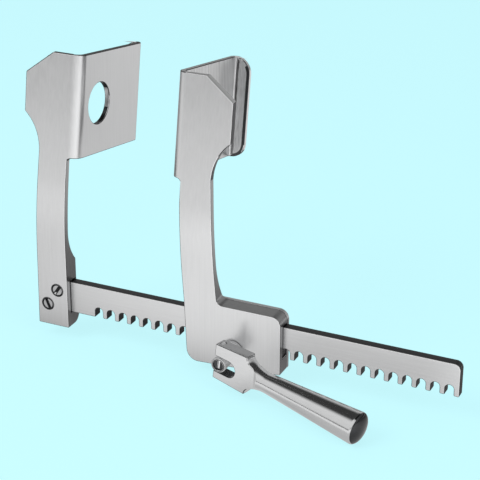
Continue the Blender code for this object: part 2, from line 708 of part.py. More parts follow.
def pin_sockets(prefix, start, end):
    """Sockets of the two drive pins between two depths."""
    return [cylinder(f"{prefix}_{i}", PIN_RADIUS + GAP, start, end, frame, 24)
            for i, frame in enumerate(pin_frames())]


def drive_shaft(material, parent):
    """The crank shaft with the pinion's front disc, bored across for the hinge pin."""
    profile = [(0, SHAFT_TIP), (SHAFT_RADIUS - SHAFT_BEVEL, SHAFT_TIP),
               (SHAFT_RADIUS, SHAFT_TIP + SHAFT_BEVEL),
               (SHAFT_RADIUS, FRONT_DISC_FRONT), (DISC_RADIUS, FRONT_DISC_FRONT),
               (DISC_RADIUS, CHANNEL_FRONT), (0, CHANNEL_FRONT)]
    shaft = turned("shaft_blank", profile, along_y(PINION_X, PINION_Z))
    hinge = cylinder("hinge_bore", HINGE_PIN_RADIUS + GAP, -FORK_HEIGHT, FORK_HEIGHT,
                     crank_frame(), 20)
    well = cylinder("lock_screw_well", LOCK_SCREW_RADIUS + GAP, SHAFT_TIP - MM,
                    HINGE_Y - HINGE_PIN_RADIUS, along_y(PINION_X, PINION_Z), 32)
    sockets = pin_sockets("front_socket", CHANNEL_FRONT - PIN_SEAT - GAP, CHANNEL_FRONT + MM)
    combine(shaft, [hinge, well] + sockets, "DIFFERENCE")
    return finish(shaft, "drive_shaft", material, parent)


def pinion_end_disc(material, parent):
    """The disc behind the rack, with the journal that turns in the cover."""
    tail = COVER_BACK + REAR_FLANGE_THICKNESS
    profile = [(0, REAR_DISC_FRONT), (DISC_RADIUS, REAR_DISC_FRONT), (DISC_RADIUS, REAR_DISC_BACK),
               (JOURNAL_RADIUS, REAR_DISC_BACK), (JOURNAL_RADIUS, tail), (0, tail)]
    disc = turned("end_disc_blank", profile, along_y(PINION_X, PINION_Z))
    sockets = pin_sockets("rear_socket", REAR_DISC_FRONT - MM, REAR_DISC_FRONT + PIN_SEAT + GAP)
    combine(disc, sockets, "DIFFERENCE")
    return finish(disc, "pinion_end_disc", material, parent)


def drive_pins(material, parent):
    """The two pins that take the place of the pinion's teeth."""
    for i, frame in enumerate(pin_frames(), 1):
        pin = cylinder(f"drive_pin_blank_{i}", PIN_RADIUS, CHANNEL_FRONT - PIN_SEAT,
                       REAR_DISC_FRONT + PIN_SEAT, frame, 24)
        finish(pin, f"drive_pin_{i}", material, parent)


def crank_frame():
    """Frame at the hinge pin: Z up the pin, Y back along the shaft, X along the open crank."""
    return Matrix.Translation((PINION_X, HINGE_Y, PINION_Z)) @ Matrix.Rotation(CRANK_ANGLE, 4, "Y")


def handle_frame():
    """The crank's frame turned about the hinge pin to where the handle is folded."""
    return crank_frame() @ Matrix.Rotation(-FOLD_ANGLE, 4, "Z")


def handle_view(rise=0):
    """Drawing plane of the handle's front view, raised above the hinge's middle by rise."""
    return handle_frame() @ columns((1, 0, 0), (0, 0, 1), (0, -1, 0), (0, 0, rise))


def handle_plan():
    """Drawing plane of the handle's plan, seen from above."""
    return handle_frame() @ columns((1, 0, 0), (0, 1, 0), (0, 0, 1), (0, 0, 0))


def fork_outline():
    """Front view of the fork's block, which widens a little toward the neck."""
    half = FORK_HEIGHT / 2
    wide = FORK_HEIGHT_NECK / 2
    return [(-FORK_TIP, -half), (FORK_LENGTH, -wide), (FORK_LENGTH, wide), (-FORK_TIP, half)]


def grip_profile():
    """Radius and place along the handle: hollow shoulder, neck, long cone and domed end."""
    rim = FORK_HEIGHT_NECK / 2 - 2 * SKIN
    profile = [(0, FORK_LENGTH - MM), (rim - MM, FORK_LENGTH - MM)]
    profile += [(NECK_RADIUS + (rim - NECK_RADIUS) * (1 - math.sin(t)),
                 FORK_LENGTH + NECK_LENGTH * (1 - math.cos(t)))
                for t in [QUARTER * i / 12 for i in range(13)]]
    profile.append((CONE_START_RADIUS, CONE_START))
    profile += [(GRIP_RADIUS * math.cos(t), GRIP_END - GRIP_DOME + GRIP_DOME * math.sin(t))
                for t in [QUARTER * i / 8 for i in range(8)]]
    return profile + [(0, GRIP_END)]


def flat_outline(side):
    """Plan of what is milled off one side of the fork, which runs out in a hollow."""
    depth = side * FORK_DEPTH / 2
    far = side * (FORK_HEIGHT_NECK / 2 + OVER)
    run_out = [(FLAT_END + FLAT_RUNOUT * math.sin(t), depth + side * FLAT_RUNOUT * (1 - math.cos(t)))
               for t in [QUARTER * i / 8 for i in range(9)]]
    return [(-FORK_TIP - OVER, far), (-FORK_TIP - OVER, depth)] + run_out + [(run_out[-1][0], far)]


def slot_outline():
    """The fork's slot, open at its tip and round at its end."""
    half = SHAFT_RADIUS + SLOT_GAP
    end = arc((SLOT_REACH - half, 0), half, -QUARTER, QUARTER, 12)
    return [(-FORK_TIP - OVER, -half)] + end + [(-FORK_TIP - OVER, half)]


def crank_handle(material, parent):
    """Fork, neck and grip in one piece."""
    fork = plate("handle_blank", fork_outline(), FORK_DEPTH + 2 * OVER, handle_view(HANDLE_RISE))
    along = handle_frame() @ columns((0, 1, 0), (0, 0, 1), (1, 0, 0), (0, 0, HANDLE_RISE))
    grip = turned("grip", grip_profile(), along, 48)
    combine(fork, [grip], "UNION")
    bake(fork)
    flats = [plate(f"fork_flat_{side}", flat_outline(side), 2 * FORK_HEIGHT_NECK, handle_plan())
             for side in (-1, 1)]
    slot = plate("fork_slot", slot_outline(), FORK_DEPTH + 2 * OVER, handle_view())
    bore = cylinder("fork_bore", HINGE_PIN_RADIUS + GAP, -FORK_HEIGHT, FORK_HEIGHT,
                    handle_frame(), 20)
    combine(fork, flats + [slot, bore], "DIFFERENCE")
    return finish(fork, "crank_handle", material, parent)


def hinge_pin(material, parent):
    """The cross pin that the handle folds on, fixed in the shaft."""
    half = FORK_HEIGHT / 2
    pin = cylinder("hinge_pin_blank", HINGE_PIN_RADIUS, HANDLE_RISE - half, HANDLE_RISE + half,
                   crank_frame(), 20)
    return finish(pin, "hinge_pin", material, parent)


def pin_lock_screw(material, parent):
    """The slotted screw in the shaft's end, which bears on the hinge pin."""
    start = SHAFT_TIP + LOCK_SCREW_SUNK
    end = HINGE_Y - HINGE_PIN_RADIUS - GAP
    profile = [(0, start), (LOCK_SCREW_RADIUS - LOCK_SCREW_SUNK, start),
               (LOCK_SCREW_RADIUS, start + LOCK_SCREW_SUNK), (LOCK_SCREW_RADIUS, end), (0, end)]
    screw = turned("lock_screw_blank", profile, along_y(PINION_X, PINION_Z), 32)
    half = LOCK_SCREW_SLOT / 2
    turn = along_y(PINION_X, PINION_Z) @ Matrix.Rotation(CRANK_ANGLE, 4, "Z")
    slot = box("lock_screw_slot", (-half, -2 * LOCK_SCREW_RADIUS, SHAFT_TIP - MM),
               (half, 2 * LOCK_SCREW_RADIUS, start + LOCK_SLOT_DEPTH), turn)
    combine(screw, [slot], "DIFFERENCE")
    return finish(screw, "pin_lock_screw", material, parent)


def main():
    """Build the rib spreader."""
    clear_scene()
    satin = (0.60, 0.61, 0.62)
    bright = (0.72, 0.73, 0.74)
    dull = (0.48, 0.49, 0.50)
    fixed_arm(steel("fixed_arm_steel", satin, 0.32))
    rack_bar(steel("rack_bar_steel", satin, 0.35))
    rack_screws(steel("rack_screws_steel", dull, 0.3))
    slider = axis_empty("slider_axis", Matrix.Translation((PINION_X, 0, RACK_TOP)))
    sliding_arm(steel("sliding_arm_steel", satin, 0.32), slider)
    slider_cover(steel("slider_cover_steel", satin, 0.35), slider)
    cover_screws(steel("cover_screws_steel", dull, 0.3), slider)
    front_bush(steel("front_bush_steel", dull, 0.28), slider)
    rear_bush(steel("rear_bush_steel", dull, 0.28), slider)
    crank = axis_empty("crank_axis", Matrix.Translation((PINION_X, HINGE_Y, PINION_Z)), slider)
    drive_shaft(steel("drive_shaft_steel", bright, 0.25), crank)
    pinion_end_disc(steel("end_disc_steel", bright, 0.25), crank)
    drive_pins(steel("drive_pins_steel", bright, 0.22), crank)
    hinge_pin(steel("hinge_pin_steel", bright, 0.25), crank)
    pin_lock_screw(steel("lock_screw_steel", dull, 0.28), crank)
    handle = axis_empty("handle_axis", handle_frame(), crank)
    crank_handle(steel("crank_handle_steel", satin, 0.3), handle)


main()
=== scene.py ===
"""Looks of a steel rib spreader: eased edges, brushed and turned finishes, a pale stage."""

import json
import math

import bmesh
import bpy
from mathutils import Matrix, Vector


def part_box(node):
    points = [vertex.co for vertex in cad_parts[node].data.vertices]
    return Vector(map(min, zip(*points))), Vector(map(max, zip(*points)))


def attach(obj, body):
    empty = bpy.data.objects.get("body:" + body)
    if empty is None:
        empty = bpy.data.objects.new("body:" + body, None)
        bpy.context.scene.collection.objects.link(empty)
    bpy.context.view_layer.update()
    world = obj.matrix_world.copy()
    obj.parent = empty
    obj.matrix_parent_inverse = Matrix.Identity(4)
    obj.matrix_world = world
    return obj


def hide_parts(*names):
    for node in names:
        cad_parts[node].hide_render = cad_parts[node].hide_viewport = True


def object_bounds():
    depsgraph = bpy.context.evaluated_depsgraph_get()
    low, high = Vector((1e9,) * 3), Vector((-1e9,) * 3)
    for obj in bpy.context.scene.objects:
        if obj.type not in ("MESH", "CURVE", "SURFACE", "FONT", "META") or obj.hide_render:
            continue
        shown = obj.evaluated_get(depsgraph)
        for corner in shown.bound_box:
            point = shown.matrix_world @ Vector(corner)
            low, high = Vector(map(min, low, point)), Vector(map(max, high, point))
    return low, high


bl_info = {
    "name": "Rib spreader finishes",
    "version": (1, 0, 0),
    "blender": (4, 5, 0),
    "location": "View3D > Sidebar > Rib spreader",
    "description": "Eases the edges of the steel, gives each part its finish and sets the stage",
    "category": "Object",
}

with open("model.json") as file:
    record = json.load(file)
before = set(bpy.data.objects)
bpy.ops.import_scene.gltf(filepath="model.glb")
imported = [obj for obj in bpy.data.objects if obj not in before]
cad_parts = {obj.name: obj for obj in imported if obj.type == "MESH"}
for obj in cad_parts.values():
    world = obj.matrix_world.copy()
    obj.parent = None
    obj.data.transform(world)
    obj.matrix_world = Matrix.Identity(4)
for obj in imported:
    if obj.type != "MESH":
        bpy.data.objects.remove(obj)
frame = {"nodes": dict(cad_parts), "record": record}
CAD_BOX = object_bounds()

MM = 0.001
FRAME_PIXELS = 480
SENSOR_WIDTH = 36.0

# Places on the object
OBJECT_LOW = CAD_BOX[0]
BODIES = frame["record"]["behaviour"]["bodies"]
WINDOWS = [[Vector(corner) for corner in opening["box_m"]]
           for opening in frame["record"]["physics"]["openings"] if "window" in opening["name"]]
CRANK = next(joint for joint in frame["record"]["behaviour"]["joints"]
             if joint["name"] == "handle_fold")
CRANK_PLACE = Vector(CRANK["pos_m"])
CRANK_UP = -Vector(CRANK["axis"]).normalized()
CRANK_ALONG = Vector((0, 1, 0)).cross(CRANK_UP)
SLIDING_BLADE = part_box("sliding_arm")[0].x
SHAFT_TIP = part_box("drive_shaft")[0].y
LOCK_SCREW_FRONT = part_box("pin_lock_screw")[0].y

# Heights, depths and widths where the finishes, the painted shade and the painted highlight
# change
SHOULDER_FOOT = 88.0 * MM
HEAD_FOOT = 113.0 * MM
LIP_START = 76.0 * MM
FOLD_DEPTH = 6.0 * MM
SHEET = 3.6 * MM
RACK_UPPER_EDGE = OBJECT_LOW.z + 25.0 * MM
SHAFT_TIP_DEPTH = 0.6 * MM
FOOT_SCREWS_HALF = 8.5 * MM
FOOT_SCREWS_LOW = 5.0 * MM
FOOT_SCREWS_HIGH = 40.0 * MM

# Distances to the right of the sliding blade's left side
FOLD_SPAN = 11.0 * MM
BEND_REACH = 8.0 * MM
LIP_REACH = 11.0 * MM
LIP_SIDE_START = 7.6 * MM
HEAD_SIDE_START = 12.0 * MM

# Places along the crank handle
FORK_LENGTH = 20.8 * MM
SLOT_REACH = 14.0 * MM
SLOT_HALF = 5.5 * MM
GRIP_DOME = 92.0 * MM

# How far a face's normal points along an axis
GLANCING = 0.2
LEANING = 0.3
TURNED = 0.4
FACING = 0.5
MAINLY = 0.7
FULLY = 0.9
FLAT_ON = 0.95
# Eased edges turned towards this way get a painted highlight
HIGHLIGHT_FACING = 0.72
HIGHLIGHT_WAY = Vector((1, -1, 1)).normalized()

# Merging, easing and sorting of faces
MERGE = 0.03 * MM
SHORTEST_EDGE = 0.05 * MM
SAME_LEVEL = 0.1 * MM
WINDOW_SLACK = 1.0 * MM
LIP_BAND = 1.5 * MM
LIP_FRONT_AREA = 1e-4
SCREW_FRONT_AREA = 1e-6
SAME_PLANE = math.radians(0.5)
EASED_FROM = math.radians(30)
SHARP_FROM = math.radians(40)
EASE_SEGMENTS = 2
NORMAL_WEIGHT = 75

# Scratches in the steel
BRUSH_STRETCH = 0.03
SCRATCH_DETAIL = 4
SCRATCH_ROUGHNESS = 0.6
SCRATCH_HEIGHT = 0.02 * MM
HANDLING_SCALE = 28
HANDLING_DETAIL = 3
NOISE_LOW, NOISE_HIGH = 0.3, 0.7
ROUGHNESS_SPREAD = 0.05

# Finish indices: sides and rims carry painted shade, edges a painted highlight
FACE, SHADED_SIDE, PAINTED_SHADE, PAINTED_HIGHLIGHT, INNER, EASED = range(6)
FINISH_NAMES = ("faces", "sides", "rims", "edges", "inner_faces")
FINISH_STREAKS = (0.06, 0.12, 0.12, 0.04, 0.3)
SHAFT_NODES = ("drive_shaft", "pinion_end_disc", "drive_pin_1", "drive_pin_2", "hinge_pin")
BUSH_NODES = ("front_bush", "rear_bush")
COVER_SCREWS = ("cover_screw_1", "cover_screw_2", "cover_screw_3", "cover_screw_4")
RACK_SCREWS = (("rack_screw_1", math.radians(64)), ("rack_screw_2", math.radians(-43)))

FLOOR_PLACE = (0.13, 0)
FLOOR_DROP = 0.2 * MM
FLOOR_SEGMENTS = 96

# The floor as metal shows it. Each ramp: start, end, level at the start, level at the end
FLOOR_RAMPS = (
    ("dimmer behind", "Y", 0.0, 0.3, 1.0, 0.72),
    ("brighter to the right", "X", 0.1, 0.4, 1.0, 1.25),
    ("dimmer at the left", "X", -0.24, -0.06, 0.79, 1.0),
    ("brighter in front", "Y", -0.36, -0.2, 1.4, 1.0),
)
SHADOW_LINE = 0.07
SHADOW_RAMP = (0.04, 0.14, 0.25, 1.0)
CORNER_DEPTH = 0.5
CORNER_LEFT_RAMP = (-0.35, 0.05, 1.0, 0.0)
CORNER_REAR_RAMP = (-0.12, 0.06, 0.0, 1.0)
GRIP_DEPTH = 0.35
GRIP_MIDDLE = (0.055, -0.062)
GRIP_LENGTH_RAMP = (0.04, 0.075, 1.0, 0.0)
GRIP_WIDTH_RAMP = (0.015, 0.035, 1.0, 0.0)
FAR_RAMP = (1.6, 4.5, 1.0, 0.1)

# The room as metal shows it, by the depth or height of a direction
ROOM_LIGHT = 0.6
WALL_RAMP = (-0.05, 0.5, 1.05, 0.56)
CEILING_RAMP = (-0.38, -0.05, 1.1, 0.06)
OVERHEAD_RAMP = (0.45, 0.68, 0.0, 1.0)
HORIZON_RAMP = (0.02, 0.16, 0.06, 1.0)

# Name, place, size and power of each lamp
LAMPS = (("key_lamp", (-0.55, -0.9, 1.1), 0.9, 9.0),
         ("fill_lamp", (1.1, -0.5, 0.8), 0.8, 4.0))
LAMP_TARGET = Vector((0.12, 0, 0.08))


class SteelSettings(bpy.types.PropertyGroup):
    """Tones and finishes of the steel, with its painted shade and painted highlight."""

    face_tone: bpy.props.FloatVectorProperty(
        name="Broad faces", description="Colour of the satin broad faces",
        subtype="COLOR", size=3, default=(0.74, 0.745, 0.75), min=0, max=1)
    # Painted shade: a darker copy of the face steel for the sides of the arms, the slider and the
    # fork, which face away from the light
    side_shade_tone: bpy.props.FloatVectorProperty(
        name="Sides", description="Colour of the ground sides of the arms and the slider",
        subtype="COLOR", size=3, default=(0.44, 0.443, 0.446), min=0, max=1)
    # Painted shade: near-black steel for narrow sheet edges, tooth gaps, slots, window walls,
    # screw rings and ends that lie in shade
    rim_shade_tone: bpy.props.FloatVectorProperty(
        name="Narrow rims", description="Colour of the narrow sheet edges, tooth gaps and slots",
        subtype="COLOR", size=3, default=(0.07, 0.072, 0.075), min=0, max=1)
    inner_tone: bpy.props.FloatVectorProperty(
        name="Inner faces", description="Colour of the coarser brushed inner faces of the blades",
        subtype="COLOR", size=3, default=(0.76, 0.765, 0.77), min=0, max=1)
    # Painted highlight: a lighter copy of the face steel for edges and top faces that face the
    # light
    highlight_tone: bpy.props.FloatVectorProperty(
        name="Highlighted edges", description="Colour of the edges that handling has polished",
        subtype="COLOR", size=3, default=(0.86, 0.865, 0.87), min=0, max=1)
    handle_tone: bpy.props.FloatVectorProperty(
        name="Handle steel", description="Colour of the crank handle",
        subtype="COLOR", size=3, default=(0.70, 0.705, 0.71), min=0, max=1)
    turned_tone: bpy.props.FloatVectorProperty(
        name="Turned steel", description="Colour of the shaft, discs and pins",
        subtype="COLOR", size=3, default=(0.60, 0.605, 0.61), min=0, max=1)
    screw_tone: bpy.props.FloatVectorProperty(
        name="Screw steel", description="Colour of the screws and bushes",
        subtype="COLOR", size=3, default=(0.55, 0.555, 0.56), min=0, max=1)
    satin: bpy.props.FloatProperty(
        name="Satin roughness", description="Roughness of the brushed faces",
        subtype="FACTOR", default=0.32, min=0.05, max=1)
    polish: bpy.props.FloatProperty(
        name="Polish roughness", description="Roughness of the turned faces",
        subtype="FACTOR", default=0.2, min=0.05, max=1)
    handle_polish: bpy.props.FloatProperty(
        name="Handle roughness", description="Roughness of the crank handle",
        subtype="FACTOR", default=0.17, min=0.05, max=1)
    arm_ease: bpy.props.FloatProperty(
        name="Arm edges", description="Width of the eased edges of the arms, rack and handle",
        subtype="DISTANCE", unit="LENGTH", default=0.45 * MM, min=0, max=2 * MM)
    # Painted shade: the eased edges and the ring round a rack screw's front are dark to stand for
    # the shade of the gap round its head
    screw_ease: bpy.props.FloatProperty(
        name="Screw edges", description="Width of the dark eased edges of the rack's screws",
        subtype="DISTANCE", unit="LENGTH", default=0.3 * MM, min=0, max=1 * MM)
    screw_ring: bpy.props.FloatProperty(
        name="Screw rings", description="Width of the dark ring round a rack screw's front",
        subtype="DISTANCE", unit="LENGTH", default=0.3 * MM, min=0, max=1 * MM)
    small_ease: bpy.props.FloatProperty(
        name="Small edges", description="Width of the eased edges of the small parts",
        subtype="DISTANCE", unit="LENGTH", default=0.2 * MM, min=0, max=1 * MM)


class StageSettings(bpy.types.PropertyGroup):
    """Floor, light and camera."""

    floor_tone: bpy.props.FloatVectorProperty(
        name="Floor", description="Colour of the floor and of the backdrop",
        subtype="COLOR", size=3, default=(0.578, 0.956, 1.0), min=0, max=1)
    floor_size: bpy.props.FloatProperty(
        name="Floor size", description="Radius of the floor",
        subtype="DISTANCE", unit="LENGTH", default=6.0, min=1, max=20)
    floor_glow: bpy.props.FloatProperty(
        name="Backdrop glow", description="Strength of the floor's even glow in its own colour",
        default=1.08, min=0, max=2)
    floor_glow_share: bpy.props.FloatProperty(
        name="Glow share", description="How much of the floor is even glow and not lit paper",
        subtype="FACTOR", default=0.8, min=0, max=1)
    camera_azimuth: bpy.props.FloatProperty(
        name="Camera azimuth", description="How far the camera stands to the right of the front",
        subtype="ANGLE", unit="ROTATION", default=math.radians(24.83))
    camera_elevation: bpy.props.FloatProperty(
        name="Camera elevation", description="How far the camera looks down",
        subtype="ANGLE", unit="ROTATION", default=math.radians(24.24))
    camera_roll: bpy.props.FloatProperty(
        name="Camera roll", description="Turn of the camera about its line of sight",
        subtype="ANGLE", unit="ROTATION", default=math.radians(0.18))
    camera_distance: bpy.props.FloatProperty(
        name="Camera distance", description="Distance of the camera from its target",
        subtype="DISTANCE", unit="LENGTH", default=0.939, min=0.1, max=5)
    focal_pixels: bpy.props.FloatProperty(
        name="Focal length", description="Focal length in pixels of a 480 pixel frame",
        default=1595.0, min=200, max=9000)
    camera_target: bpy.props.FloatVectorProperty(
        name="Camera target", description="Point that the camera looks at",
        subtype="TRANSLATION", unit="LENGTH", size=3, default=(0.1267, 0, 0.0804))


def add(tree, kind, label, values=None, **settings):
    """Add a node with a label, settings and the values of its unlinked inputs."""
    node = tree.nodes.new(kind)
    node.label = label
    for key, value in settings.items():
        setattr(node, key, value)
    for key, value in (values or {}).items():
        node.inputs[key].default_value = value
    return node


def noise_range(tree, label, at_low, at_high):
    """Spread the middle of a noise between two values."""
    return add(tree, "ShaderNodeMapRange", label,
               {"From Min": NOISE_LOW, "From Max": NOISE_HIGH,
                "To Min": at_low, "To Max": at_high})


def brushed_steel(name, tone, roughness, along, grain, depth, streak):
    """Steel with fine scratches that run along one axis of the object."""
    material = bpy.data.materials.new(name)
    material.use_nodes = True
    tree = material.node_tree
    shader = tree.nodes["Principled BSDF"]
    shader.inputs["Metallic"].default_value = 1
    place = add(tree, "ShaderNodeTexCoord", "object place")
    stretch = add(tree, "ShaderNodeMapping", "stretch along the brushing",
                  {"Scale": [BRUSH_STRETCH if axis == along else 1.0 for axis in "XYZ"]})
    scratches = add(tree, "ShaderNodeTexNoise", "scratches",
                    {"Scale": grain, "Detail": SCRATCH_DETAIL, "Roughness": SCRATCH_ROUGHNESS})
    clouds = add(tree, "ShaderNodeTexNoise", "handling",
                 {"Scale": HANDLING_SCALE, "Detail": HANDLING_DETAIL})
    colour = add(tree, "ShaderNodeMix", "scratch tone", {"Factor": 1, "A": (*tone, 1)},
                 data_type="RGBA", blend_type="MULTIPLY")
    shade = noise_range(tree, "scratch shade", 1.0 - streak, 1.0)
    dull = noise_range(tree, "roughness range",
                       roughness - ROUGHNESS_SPREAD, roughness + ROUGHNESS_SPREAD)
    mean = add(tree, "ShaderNodeMath", "scratches and handling", operation="ADD")
    half = add(tree, "ShaderNodeMath", "half", {1: 0.5}, operation="MULTIPLY")
    bump = add(tree, "ShaderNodeBump", "scratch depth",
               {"Strength": depth, "Distance": SCRATCH_HEIGHT})
    link = tree.links.new
    link(place.outputs["Object"], stretch.inputs["Vector"])
    link(stretch.outputs["Vector"], scratches.inputs["Vector"])
    link(place.outputs["Object"], clouds.inputs["Vector"])
    link(scratches.outputs["Fac"], shade.inputs["Value"])
    link(shade.outputs["Result"], colour.inputs["B"])
    link(colour.outputs["Result"], shader.inputs["Base Color"])
    link(scratches.outputs["Fac"], mean.inputs[0])
    link(clouds.outputs["Fac"], mean.inputs[1])
    link(mean.outputs["Value"], half.inputs[0])
    link(half.outputs["Value"], dull.inputs["Value"])
    link(dull.outputs["Result"], shader.inputs["Roughness"])
    link(scratches.outputs["Fac"], bump.inputs["Height"])
    link(bump.outputs["Normal"], shader.inputs["Normal"])
    return material


def merge_and_ease(work, node, width, turn, band, banded):
    """Merge a mesh's loose triangles, ease its sharp edges and ring its broad front faces."""
    bmesh.ops.remove_doubles(work, verts=work.verts, dist=MERGE)
    bmesh.ops.dissolve_limit(work, angle_limit=SAME_PLANE, verts=work.verts,
                             edges=work.edges, delimit={"NORMAL"})
    bmesh.ops.dissolve_degenerate(work, dist=SHORTEST_EDGE, edges=work.edges)
    low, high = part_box(node)
    if turn:
        bmesh.ops.rotate(work, cent=(low + high) / 2, matrix=Matrix.Rotation(turn, 3, "Y"),
                         verts=work.verts)
    sharp = [edge for edge in work.edges
             if len(edge.link_faces) == 2 and edge.calc_face_angle(0) > EASED_FROM]
    bmesh.ops.bevel(work, geom=sharp, offset=width, offset_type="OFFSET", affect="EDGES",
                    segments=EASE_SEGMENTS, profile=0.5, material=EASED, clamp_overlap=False)
    if band:
        broad = [face for face in work.faces if face.normal.y < -FLAT_ON and banded(face)]
        ring = bmesh.ops.inset_individual(work, faces=broad, thickness=band,
                                          use_even_offset=True)
        for face in ring["faces"]:
            face.material_index = EASED
    for vertex in work.verts:
        vertex.co = [min(max(value, least), most)
                     for value, least, most in zip(vertex.co, low, high)]


def eased_copy(node, width, turn=0.0, band=0.0, banded=None):
    """A copy of a CAD node with its loose triangles merged and its sharp edges eased."""
    mesh = frame["nodes"][node].data.copy()
    mesh.name = node + "_eased"
    work = bmesh.new()
    work.from_mesh(mesh)
    merge_and_ease(work, node, width, turn, band, banded)
    work.to_mesh(mesh)
    work.free()
    mesh.shade_smooth()
    mesh.set_sharp_from_angle(angle=SHARP_FROM)
    copy = bpy.data.objects.new(node + "_eased", mesh)
    bpy.context.scene.collection.objects.link(copy)
    even = copy.modifiers.new("broad faces stay flat", "WEIGHTED_NORMAL")
    even.weight = NORMAL_WEIGHT
    even.keep_sharp = True
    return copy


def lip_front(face):
    """Whether a face is the broad front of a blade's lip."""
    return face.calc_center_median().y > LIP_START and face.calc_area() > LIP_FRONT_AREA


def screw_front(face):
    """Whether a face is one half of a screw's slotted front."""
    return face.calc_area() > SCREW_FRONT_AREA


def body_of_node(node):
    """The moving body that carries a node."""
    return next(body for body, nodes in BODIES.items() if node in nodes)


def dress(node, finishes, width, choose=None, turn=0.0, band=0.0, banded=None):
    """Show an eased copy of a node on its own body, each face in the finish that choose names."""
    piece = eased_copy(node, width, turn, band, banded)
    eased = [face.material_index == EASED for face in piece.data.polygons]
    piece.data.materials.clear()
    for finish in finishes:
        piece.data.materials.append(finish)
    for face, at_edge in zip(piece.data.polygons, eased):
        face.material_index = choose(face.center, face.normal, at_edge) if choose else FACE
    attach(piece, body_of_node(node))
    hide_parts(node)
    return piece


def painted_edge_light(normal):
    """Painted light on an eased edge: front and top edges that face right and up get a painted
    highlight, the others painted shade.
    """
    facing_front_or_up = normal.y < -FACING or normal.z > FACING
    return PAINTED_HIGHLIGHT if facing_front_or_up and normal.dot(HIGHLIGHT_WAY) > HIGHLIGHT_FACING else PAINTED_SHADE


def in_window(centre, normal):
    """Whether a face is on the wall of a blade's round window."""
    for low, high in WINDOWS:
        inside = all(low[axis] - WINDOW_SLACK < centre[axis] < high[axis] + WINDOW_SLACK
                     for axis in (1, 2))
        if inside and low.x < centre.x < high.x and abs(normal.x) < FACING:
            return True
    return False


def fixed_arm_finish_and_light(centre, normal, eased):
    """Finish of a face of the fixed arm: painted shade on the head's narrow faces, the window
    walls, the lower sides and the edges by the foot screws, a painted highlight on edges that
    face the light.
    """
    if eased:
        by_screws = (abs(centre.x) < FOOT_SCREWS_HALF
                     and FOOT_SCREWS_LOW < centre.z < FOOT_SCREWS_HIGH)
        return PAINTED_SHADE if by_screws else painted_edge_light(normal)
    if centre.z > SHOULDER_FOOT:
        narrow = (abs(normal.z) > FACING
                  or (normal.x < -FACING and centre.x < OBJECT_LOW.x + SHEET))
        return PAINTED_SHADE if narrow or in_window(centre, normal) else FACE
    return SHADED_SIDE if abs(normal.y) < FACING else FACE


def sliding_arm_finish_and_light(centre, normal, eased):
    """Finish of a face of the sliding arm: painted shade on the lower sides, the fold, the lip's
    rims, the window walls, the underside and the head's right side, a painted highlight on top
    faces, the lip's right side and edges that face the light.
    """
    if centre.z < SHOULDER_FOOT:
        if eased:
            return painted_edge_light(normal)
        return SHADED_SIDE if abs(normal.y) < FACING else FACE
    if in_window(centre, normal):
        return PAINTED_SHADE
    across = centre.x - SLIDING_BLADE
    on_lip = centre.y > LIP_START
    at_bend = on_lip and across < BEND_REACH and abs(normal.z) < FACING
    if eased and not at_bend and not (on_lip and normal.y < -FLAT_ON):
        return PAINTED_SHADE if on_lip else painted_edge_light(normal)
    # Painted shade on the fold beside the blade
    if centre.y < FOLD_DEPTH and normal.x > GLANCING and across < FOLD_SPAN:
        return PAINTED_SHADE
    if on_lip and normal.y < -LEANING:
        return PAINTED_SHADE if across > LIP_REACH else INNER
    # Painted highlight on top faces and the lip's right side, painted shade on undersides and the
    # head's right side
    if normal.z > FACING or (on_lip and normal.x > TURNED and across > LIP_SIDE_START):
        return PAINTED_HIGHLIGHT
    if normal.z < -FACING or (normal.x > FACING and not on_lip and across > HEAD_SIDE_START):
        return PAINTED_SHADE
    return INNER if normal.x > MAINLY and centre.z > HEAD_FOOT else FACE


def rack_finish_and_light(centre, normal, eased):
    """Finish of a face of the rack: bright flat faces, with painted shade on the tooth gaps, the
    sides and the lower edges and a painted highlight on upper edges that face the light.
    """
    if eased:
        return painted_edge_light(normal) if centre.z > RACK_UPPER_EDGE else PAINTED_SHADE
    return PAINTED_SHADE if abs(normal.y) < FACING else FACE


def handle_finish_and_light(centre, normal, eased):
    """Finish of a face of the crank handle: painted shade in the slot, on the grip's end and on
    the fork's sides, a painted highlight on edges that face the light.
    """
    place = centre - CRANK_PLACE
    along, up = place.dot(CRANK_ALONG), place.dot(CRANK_UP)
    if along > GRIP_DOME and normal.dot(CRANK_ALONG) > FACING:
        return PAINTED_SHADE
    if along > FORK_LENGTH:
        return FACE
    if abs(up) < SLOT_HALF and along < SLOT_REACH and abs(normal.y) < MAINLY:
        return PAINTED_SHADE
    if eased:
        return painted_edge_light(normal)
    return SHADED_SIDE if abs(normal.dot(CRANK_UP)) > MAINLY else FACE


def screw_finish_and_shade(front):
    """Chooser for a screw with its front at one depth: turned there, painted shade round it and
    in its slot.
    """
    def choose(centre, normal, eased):
        return FACE if abs(centre.y - front) < SAME_LEVEL and not eased else PAINTED_SHADE
    return choose


def lock_screw_finish_and_light(centre, normal, eased):
    """Finish of a face of the pin's lock screw: its front and eased edges in painted shade, its
    slot and other faces in a painted highlight.
    """
    front = normal.y < -FULLY and centre.y < LOCK_SCREW_FRONT + SAME_LEVEL
    return PAINTED_SHADE if front or eased else PAINTED_HIGHLIGHT


def shaft_finish_and_shade(centre, normal, eased):
    """Finish of a face of the drive shaft, whose free end is darkened as painted shade."""
    at_tip = centre.y < SHAFT_TIP + SHAFT_TIP_DEPTH and normal.y < -FULLY
    return PAINTED_SHADE if at_tip and not eased else FACE


